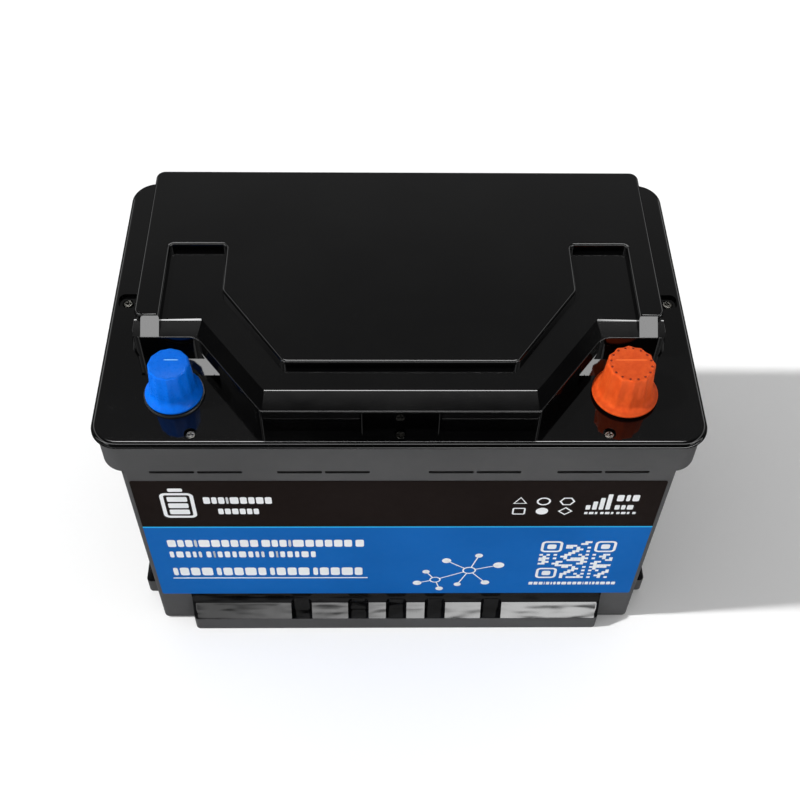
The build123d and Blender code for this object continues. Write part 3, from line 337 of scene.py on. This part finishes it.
INK = surface("label_ink", (0.90, 0.92, 0.94), (0.95, 0.97, 0.98), (0.42, 0.5), 0.3 * MM, bump=0.15)
# painted shade: dark colour for the faces inside the orange cap's pits
PIP_SHADE = surface("cap_pip_shade", (0.16, 0.012, 0.003), (0.24, 0.018, 0.005), (0.6, 0.7), 0.2 * MM)

slot_of = {part["node"]: part["material_slot"] for part in frame["record"]["subparts"]}
for node, obj in frame["nodes"].items():
    obj.data.materials.clear()
    obj.data.materials.append(materials[slot_of[node]])


# ---------------------------------------------------------------- pieces
def piece(name, mesh_data, body, slot, *mats):
    """Put a finished bmesh into the scene as a piece of the battery."""
    mesh = bpy.data.meshes.new(name)
    bmesh.ops.recalc_face_normals(mesh_data, faces=mesh_data.faces)
    mesh_data.to_mesh(mesh)
    mesh_data.free()
    for mat in mats:
        mesh.materials.append(mat)
    obj = bpy.data.objects.new(name, mesh)
    bpy.context.scene.collection.objects.link(obj)
    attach(obj, body)
    return obj


# ---------------------------------------------------------------- label print
LABEL_T = 0.3 * MM
INK_BACK, INK_FRONT = 0.01 * MM, 0.05 * MM  # how far the ink's faces stand proud of the film
label_low, label_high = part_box("front_label")
LEAN = (label_high.y - label_low.y - LABEL_T) / (label_high.z - label_low.z)


def on_label(x, z, lift):
    """The point on the label at x and height z, both in millimetres, standing lift metres proud of it."""
    z *= MM
    return (x * MM, label_high.y - LABEL_T - (z - label_low.z) * LEAN - lift, z)


class Print:
    """Flat inked shapes on the label, each a thin closed prism. Sizes are in millimetres on the label."""

    def __init__(self):
        self.mesh = bmesh.new()

    def solid(self, outline):
        back = [self.mesh.verts.new(on_label(x, z, INK_BACK)) for x, z in outline]
        front = [self.mesh.verts.new(on_label(x, z, INK_FRONT)) for x, z in outline]
        self.mesh.faces.new(front)
        self.mesh.faces.new(back[::-1])
        self.wall(back, front)

    def wall(self, first, second):
        for i in range(len(first)):
            self.mesh.faces.new((first[i - 1], first[i], second[i], second[i - 1]))

    def hollow(self, outer, inner):
        """A closed ring between two outlines with equally many points."""
        loops = []
        for outline, lift in ((outer, INK_BACK), (outer, INK_FRONT), (inner, INK_FRONT), (inner, INK_BACK)):
            loops.append([self.mesh.verts.new(on_label(x, z, lift)) for x, z in outline])
        for i in range(4):
            self.wall(loops[i - 1], loops[i])

    def bar(self, x0, x1, z0, z1, corner=0.0):
        self.solid(rounded(x0, x1, z0, z1, corner))

    def disc(self, x, z, r, sides=28):
        self.solid(ngon(x, z, r, sides))

    def ring(self, x, z, r, width, sides=28, turn=0.0):
        self.hollow(ngon(x, z, r, sides, turn), ngon(x, z, r - width, sides, turn))

    def frame(self, x0, x1, z0, z1, width, corner):
        inner = rounded(x0 + width, x1 - width, z0 + width, z1 - width, max(corner - width, 0.05))
        self.hollow(rounded(x0, x1, z0, z1, corner), inner)

    def stroke(self, start, end, width):
        """A straight line from start to end."""
        run, rise = end[0] - start[0], end[1] - start[1]
        k = width / 2 / hypot(run, rise)
        side = (-rise * k, run * k)
        self.solid([(start[0] + side[0], start[1] + side[1]), (start[0] - side[0], start[1] - side[1]),
                    (end[0] - side[0], end[1] - side[1]), (end[0] + side[0], end[1] + side[1])])

    def blocks(self, x0, x1, z0, z1, widths, gap):
        """A row of plain blocks in place of writing; a width of 0 leaves a wider space."""
        x, i = x0, 0
        height = z1 - z0
        while True:
            width = widths[i % len(widths)] * height
            i += 1
            if x + width > x1:
                break
            if width:
                self.bar(x, x + width, z0, z1, 0.16 * height)
            x += width + gap * height


def ngon(x, z, r, sides, turn=0.0):
    """Outline of a regular polygon of radius r, its first corner turned by turn from the x direction."""
    angles = [turn + 2 * pi * i / sides for i in range(sides)]
    return [(x + r * cos(a), z + r * sin(a)) for a in angles]


def rounded(x0, x1, z0, z1, corner, steps=5):
    """Outline of a rectangle with round corners, or square ones if corner is 0."""
    if not corner:
        return [(x1, z1), (x0, z1), (x0, z0), (x1, z0)]
    points = []
    centres = ((x1 - corner, z1 - corner), (x0 + corner, z1 - corner), (x0 + corner, z0 + corner),
               (x1 - corner, z0 + corner))
    for quarter, (x, z) in enumerate(centres):
        for i in range(steps + 1):
            a = (quarter + i / steps) * pi / 2
            points.append((x + corner * cos(a), z + corner * sin(a)))
    return points


def emblem(ink):
    """A plain battery pictogram with three charge bars."""
    ink.frame(-113.5, -97.5, 106.0, 128.0, 1.8, 3.0)
    ink.bar(-109.0, -102.0, 129.2, 132.0, 0.8)
    for level in range(3):
        ink.bar(-110.3, -100.7, 109.2 + 5.6 * level, 113.4 + 5.6 * level, 0.8)


def symbols(ink):
    """Six plain shapes in two rows."""
    left, middle, right, top, bottom = 58.0, 69.2, 80.5, 120.4, 111.6
    ink.ring(left, top, 3.9, 0.9, 3, pi / 2)
    ink.ring(middle, top, 3.4, 0.9)
    ink.ring(right, top, 3.8, 0.9, 6)
    ink.frame(left - 3.2, left + 3.2, bottom - 3.0, bottom + 3.0, 0.8, 1.0)
    ink.disc(middle, bottom, 3.0)
    ink.ring(right, bottom, 3.6, 1.0, 4)


def signal_mark(ink):
    """Rising signal bars beside two rows of blocks."""
    for i in range(4):
        ink.bar(90.0 + 3.2 * i, 92.2 + 3.2 * i, 113.0, 117.0 + 3.2 * i, 0.5)
    ink.blocks(104.0, 116.0, 120.5, 126.0, (0.6, 0.35, 0.6), 0.2)
    ink.blocks(104.0, 116.0, 113.0, 117.0, (0.6, 0.5, 0.75), 0.2)
    ink.blocks(90.0, 116.0, 108.8, 110.8, (0.8, 1.1, 0.6, 0), 0.35)


def beside(centre, a, distance):
    """The point at a distance from a centre in the direction a, in radians."""
    return (centre[0] + distance * cos(a), centre[1] + distance * sin(a))


def spokes(ink, hub, start, end, dots):
    """Thin lines out from a hub, each ending in a dot; a dot is its radius and its direction in degrees."""
    for r, turn in dots:
        far = beside(hub, radians(turn), end)
        ink.stroke(beside(hub, radians(turn), start), far, 0.6)
        ink.disc(*far, r)


def network(ink):
    """Rings and dots joined by thin lines."""
    first, second = (37.5, 53.0), (20.0, 43.0)
    first_start, second_start = 3.4, 2.8  # how far from the rings' middles the lines begin
    spokes(ink, first, first_start, 16.0, ((2.9, 20), (2.0, 75), (2.4, 140), (1.9, 250), (2.3, 305)))
    ink.ring(*first, 3.6, 0.8)
    ink.ring(*second, 3.0, 0.7)
    a = atan2(first[1] - second[1], first[0] - second[0])
    ink.stroke(beside(second, a, second_start), beside(first, a, -first_start), 0.6)
    spokes(ink, second, second_start, 10.0, ((1.9, 120), (2.3, 200), (2.0, 285)))


def mosaic(ink):
    """A square of small tiles with a framed tile in three corners, drawn by a formula; it encodes nothing."""
    x0, z0, count, pitch = 72.6, 44.6, 21, 1.82
    corner = 6  # tiles along a framed corner
    tile = 0.97 * pitch
    for i in range(count):
        for j in range(count):
            low_i, low_j = i <= corner, j <= corner
            high_i, high_j = i >= count - corner - 1, j >= count - corner - 1
            in_corner = high_j and (low_i or high_i) or low_i and low_j
            if not in_corner and (i * i * 3 + j * 7 + i * j * 5) % 11 <= 4:
                x, z = x0 + i * pitch, z0 + j * pitch
                ink.bar(x, x + tile, z, z + tile)
    side = corner * pitch
    last = (count - corner) * pitch
    inset = 3.2  # the solid square inside a frame
    for x, z in ((x0, z0), (x0, z0 + last), (x0 + last, z0 + last)):
        ink.frame(x, x + side, z, z + side, 1.4, 2.6)
        ink.bar(x + inset, x + side - inset, z + inset, z + side - inset, 1.2)


def label_print():
    """All the printing on the label, with plain blocks where writing would be."""
    ink = Print()
    emblem(ink)
    ink.blocks(-93.2, -60.0, 118.6, 124.4, (0.55, 0.42, 0.5, 0.2, 0.7, 0.55, 0.5, 0.6), 0.13)
    ink.blocks(-87.0, -66.0, 109.2, 114.2, (0.5, 0.55, 0.6, 0.55, 0.5), 0.14)
    symbols(ink)
    signal_mark(ink)
    ink.blocks(-115.8, -16.5, 77.8, 84.6, (0.62, 0.45, 0.52, 0.2, 0.8, 0.62, 0.55, 0.55, 0.62, 0.58, 0), 0.13)
    ink.blocks(-116.0, -40.0, 67.2, 73.2, (0.35, 0.6, 0.4, 0.3, 0.25, 0, 0.4, 0.15, 0.4, 0.45), 0.2)
    ink.blocks(-116.5, -15.6, 48.4, 56.4, (0.3, 0.58, 0.58, 0.7, 0, 0.3, 0.58, 0.58, 0.72, 0.5, 0), 0.13)
    ink.bar(-117.5, -15.6, 45.0, 45.9)
    network(ink)
    mosaic(ink)
    ink.blocks(70.0, 117.0, 37.4, 40.4, (0.7, 0.7, 0.7, 0.2, 0.6, 0.3, 0.45, 0.6, 0.85), 0.2)
    piece("label_print", ink.mesh, ROOT, "label_film", INK)


label_print()


# ---------------------------------------------------------------- terminal caps
TURNS = 240  # points around a cap
FLUTE_POWER = 0.7  # below 1 the flutes are wide and the ridges between them narrow


def pip_gap(x, y, circle_r, count):
    """Distance to the nearest of count pips spread around a circle."""
    step = 2 * pi / count
    near = (round(atan2(y, x) / step - 0.5) + 0.5) * step
    return hypot(x - circle_r * cos(near), y - circle_r * sin(near))


def cap(name, node, body, slot, outer, inner, flutes, depth, pips, mats):
    """A hat-shaped cap turned about its axis. outer runs from the foot up and in to the axis, inner from the
    foot up inside; each entry is a radius, a height above the foot and a share of the flutes' full depth.
    pips are round pits in the top: their circle's radius, how many, their own radius and their depth.
    Sizes are in millimetres."""
    low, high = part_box(node)
    axis_x, axis_y = (low.x + high.x) / 2, (low.y + high.y) / 2
    mesh = bmesh.new()
    rings = []
    for r, z, flute in inner[::-1] + outer:
        ring = []
        for i in range(TURNS):
            a = 2 * pi * i / TURNS
            wave = 0.5 - 0.5 * cos(flutes * a)
            sunk = depth * flute * wave ** FLUTE_POWER
            x, y = (r - sunk) * cos(a), (r - sunk) * sin(a)
            drop = 0.0
            if pips and z > outer[-1][1] - 1.0:  # on the top, not on the wall below it
                circle_r, count, pip_r, pip_deep = pips
                gap = pip_gap(x, y, circle_r, count)
                if gap < pip_r:
                    drop = pip_deep * (0.5 + 0.5 * cos(pi * gap / pip_r))
            ring.append(mesh.verts.new((axis_x + x * MM, axis_y + y * MM, low.z + (z - drop) * MM)))
        rings.append(ring)
    for lower, upper in zip(rings, rings[1:]):
        for i in range(TURNS):
            mesh.faces.new((lower[i - 1], lower[i], upper[i], upper[i - 1]))
    for ring in (rings[0], rings[-1]):
        mesh.faces.new(ring)
    for face in mesh.faces:
        face.smooth = len(face.verts) == 4
        if pips:
            circle_r, count, pip_r, pip_deep = pips
            centre = face.calc_center_median()
            gap = pip_gap((centre.x - axis_x) / MM, (centre.y - axis_y) / MM, circle_r, count)
            if centre.z > high.z - 1.2 * MM and gap < 0.7 * pip_r:
                face.material_index = 1  # painted shade in the pits
    obj = piece(name, mesh, body, slot, *mats)
    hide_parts(node)


def arc(r0, z0, r1, z1, bulge, flute0, flute1, steps):
    """Profile points from r0, z0 to r1, z1 along a parabola that bulges to its left by bulge."""
    run, rise = r1 - r0, z1 - z0
    k = 4 * bulge / hypot(run, rise)
    points = []
    for i in range(steps + 1):
        t = i / steps
        off = k * t * (1 - t)
        points.append((r0 + run * t - rise * off, z0 + rise * t + run * off, flute0 + (flute1 - flute0) * t))
    return points


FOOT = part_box("negative_cap")[0].z
HOLLOW_TOP = 188.45 * MM  # the hollows inside the caps end here
HOLLOW_RISE = (HOLLOW_TOP - FOOT) / MM
TAPER = 1 / 18  # how much the hollows narrow on their way up, like the posts inside them
AXIS_R = 0.05  # a cap's profile stops this close to its axis


def hollow(foot_r):
    """The inside of a cap, from its foot up and in to the axis."""
    return [(foot_r, 0.0, 0.0), (foot_r - HOLLOW_RISE * TAPER, HOLLOW_RISE, 0.0), (AXIS_R, HOLLOW_RISE, 0.0)]


low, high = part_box("negative_cap")
brim_r, top = (high.x - low.x) / 2 / MM, (high.z - low.z) / MM
blue_profile = (
    [(brim_r - 0.25, 0.0, 0.0), (brim_r, 0.2, 0.0), (brim_r, 0.8, 0.0), (brim_r - 0.2, 1.1, 0.0)]
    + arc(brim_r - 0.3, 1.2, 10.45, 7.2, 0.9, 0.0, 0.9, 10)
    + arc(10.4, 7.6, 9.45, top - 1.6, 0.0, 1.0, 1.0, 12)
    + arc(9.4, top - 1.4, 8.7, top - 0.35, -0.18, 0.9, 0.4, 6)
    + arc(8.5, top - 0.3, AXIS_R, top, -0.1, 0.0, 0.0, 12)
)
cap("blue_terminal_cap", "negative_cap", "negative_cover", "blue_plastic", blue_profile, hollow(9.25),
    flutes=12, depth=0.42, pips=None, mats=(materials["blue_plastic"],))

low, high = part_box("positive_cap")
brim_r, top = (high.x - low.x) / 2 / MM, (high.z - low.z) / MM
orange_profile = (
    [(brim_r - 0.3, 0.0, 0.0), (brim_r, 0.25, 0.0), (brim_r, 0.8, 0.0), (brim_r - 0.3, 1.15, 0.0)]
    + arc(brim_r - 0.4, 1.25, 12.1, 5.4, 0.75, 0.0, 0.8, 9)
    + arc(12.0, 5.8, 10.9, top - 1.0, 0.0, 1.0, 1.0, 14)
    + arc(10.8, top - 0.75, 10.2, top - 0.1, -0.12, 1.0, 0.85, 4)
    + [(r / 10, top, max((r / 10 - 8.0) / 2.2, 0.0) * 0.8) for r in range(101, 76, -1)]
    + [(6.0, top, 0.0), (3.0, top, 0.0), (AXIS_R, top, 0.0)]
)
cap("orange_terminal_cap", "positive_cap", "positive_cover", "orange_plastic", orange_profile, hollow(10.05),
    flutes=12, depth=0.7, pips=(9.1, 16, 0.8, 0.7), mats=(materials["orange_plastic"], PIP_SHADE))


# ---------------------------------------------------------------- stage and light
# brightness of what glossy surfaces reflect
ROOM = 0.03  # between the panels
BACK_PANEL = 18.0
BACK_GLOW = 0.6  # above the back panel
BACK_WALL = 0.26, 0.14  # below the back panel, from low to high
FRONT_PANEL = 7.0
FLOOR_STRIP = 2.2, 15.0  # low in front, from left to right
SIDE_PANELS = 1.6

FILL_LIGHT = 0.56
KEY_LIGHT = 2.6
KEY_SIZE = 0.05  # the key light's apparent width in radians
KEY_TURN = radians(3), radians(-41), 0

CAMERA_AT = -9.7 * MM, -398.1 * MM, 600.3 * MM
CAMERA_TURN = radians(38.12), radians(-0.81), radians(-0.60)
SENSOR, LENS = 36, 53.94


def floor():
    """A white sheet, left out of glossy reflections so that the dark plastics stay dark."""
    mesh = bmesh.new()
    bmesh.ops.create_grid(mesh, x_segments=8, y_segments=8, size=6.0)
    data = bpy.data.meshes.new("floor")
    mesh.to_mesh(data)
    mesh.free()
    obj = bpy.data.objects.new("floor", data)
    obj.location.z = cad_low.z - 0.1 * MM
    data.materials.append(surface("floor_white", (0.93, 0.93, 0.93), (0.95, 0.95, 0.95), (0.9, 1.0), 4 * MM,
                                  bump=0.02, patch=0.5))
    obj.visible_glossy = False
    bpy.context.scene.collection.objects.link(obj)
    obj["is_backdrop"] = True


def world():
    """Even white light on matt surfaces; in glossy ones, a dark room with long soft panels."""
    scene_world = bpy.data.worlds.new("studio")
    bpy.context.scene.world = scene_world
    scene_world.use_nodes = True
    scene_world.node_tree.nodes.clear()
    n = Graph(scene_world.node_tree)
    generated = n.add("ShaderNodeTexCoord").outputs["Generated"]
    x, y, z = n.add("ShaderNodeSeparateXYZ", Vector=generated).outputs
    across = n.math("ABSOLUTE", x)
    # degrees from the back horizon up and over to the front one at 180; below the horizon they are negative
    over = n.math("MULTIPLY", n.math("ARCTAN2", z, y), 180 / pi)
    middle = n.spread(across, 1.0, 0.0, 0.20, 0.30)
    panels = [
        n.times(n.band(over, 61, 68, 1.0), middle, BACK_PANEL),
        n.times(n.band(over, 68, 74.4, 0.8), middle, BACK_GLOW),
        n.times(n.band(over, 30, 60, 3.0), n.spread(over, *BACK_WALL, 38, 50)),
        n.times(n.band(over, 115.5, 123.5, 0.8), FRONT_PANEL),
        n.times(n.band(over, -154.5, -148.5, 2.0), n.spread(x, *FLOOR_STRIP, -0.15, 0.15)),
        n.times(n.band(across, 0.58, 0.76, 0.03), n.spread(z, 0.0, 1.0, 0.1, 0.3), SIDE_PANELS),
    ]
    bright = ROOM
    for panel in panels:
        bright = n.math("ADD", bright, panel)
    gloss = n.add("ShaderNodeBackground", Color=(1, 1, 1, 1), Strength=bright)
    path = n.add("ShaderNodeLightPath").outputs
    backdrop = n.math("MAXIMUM", path["Is Camera Ray"], FILL_LIGHT)
    fill = n.add("ShaderNodeBackground", Color=(1, 1, 1, 1), Strength=backdrop)
    mixer = n.tree.nodes.new("ShaderNodeMixShader")
    n.put(path["Is Glossy Ray"], mixer.inputs[0])
    n.put(fill.outputs[0], mixer.inputs[1])
    n.put(gloss.outputs[0], mixer.inputs[2])
    n.put(mixer.outputs[0], n.tree.nodes.new("ShaderNodeOutputWorld").inputs[0])


def key_light():
    """A small soft light high on the left, a touch to the front; glossy surfaces don't reflect it."""
    light = bpy.data.lights.new("key", "SUN")
    light.energy = KEY_LIGHT
    light.angle = KEY_SIZE
    obj = bpy.data.objects.new("key", light)
    obj.rotation_euler = KEY_TURN
    obj.visible_glossy = False
    bpy.context.scene.collection.objects.link(obj)


def camera():
    """Stands in front of the battery and above it, looking down at about 52 degrees."""
    data = bpy.data.cameras.new("camera")
    data.sensor_width = SENSOR
    data.lens = LENS
    data.clip_start = 0.01
    obj = bpy.data.objects.new("camera", data)
    obj.location = CAMERA_AT
    obj.rotation_euler = CAMERA_TURN
    bpy.context.scene.collection.objects.link(obj)
    bpy.context.scene.camera = obj


floor()
world()
key_light()
camera()
bpy.context.scene.view_settings.view_transform = "Standard"

low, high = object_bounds()
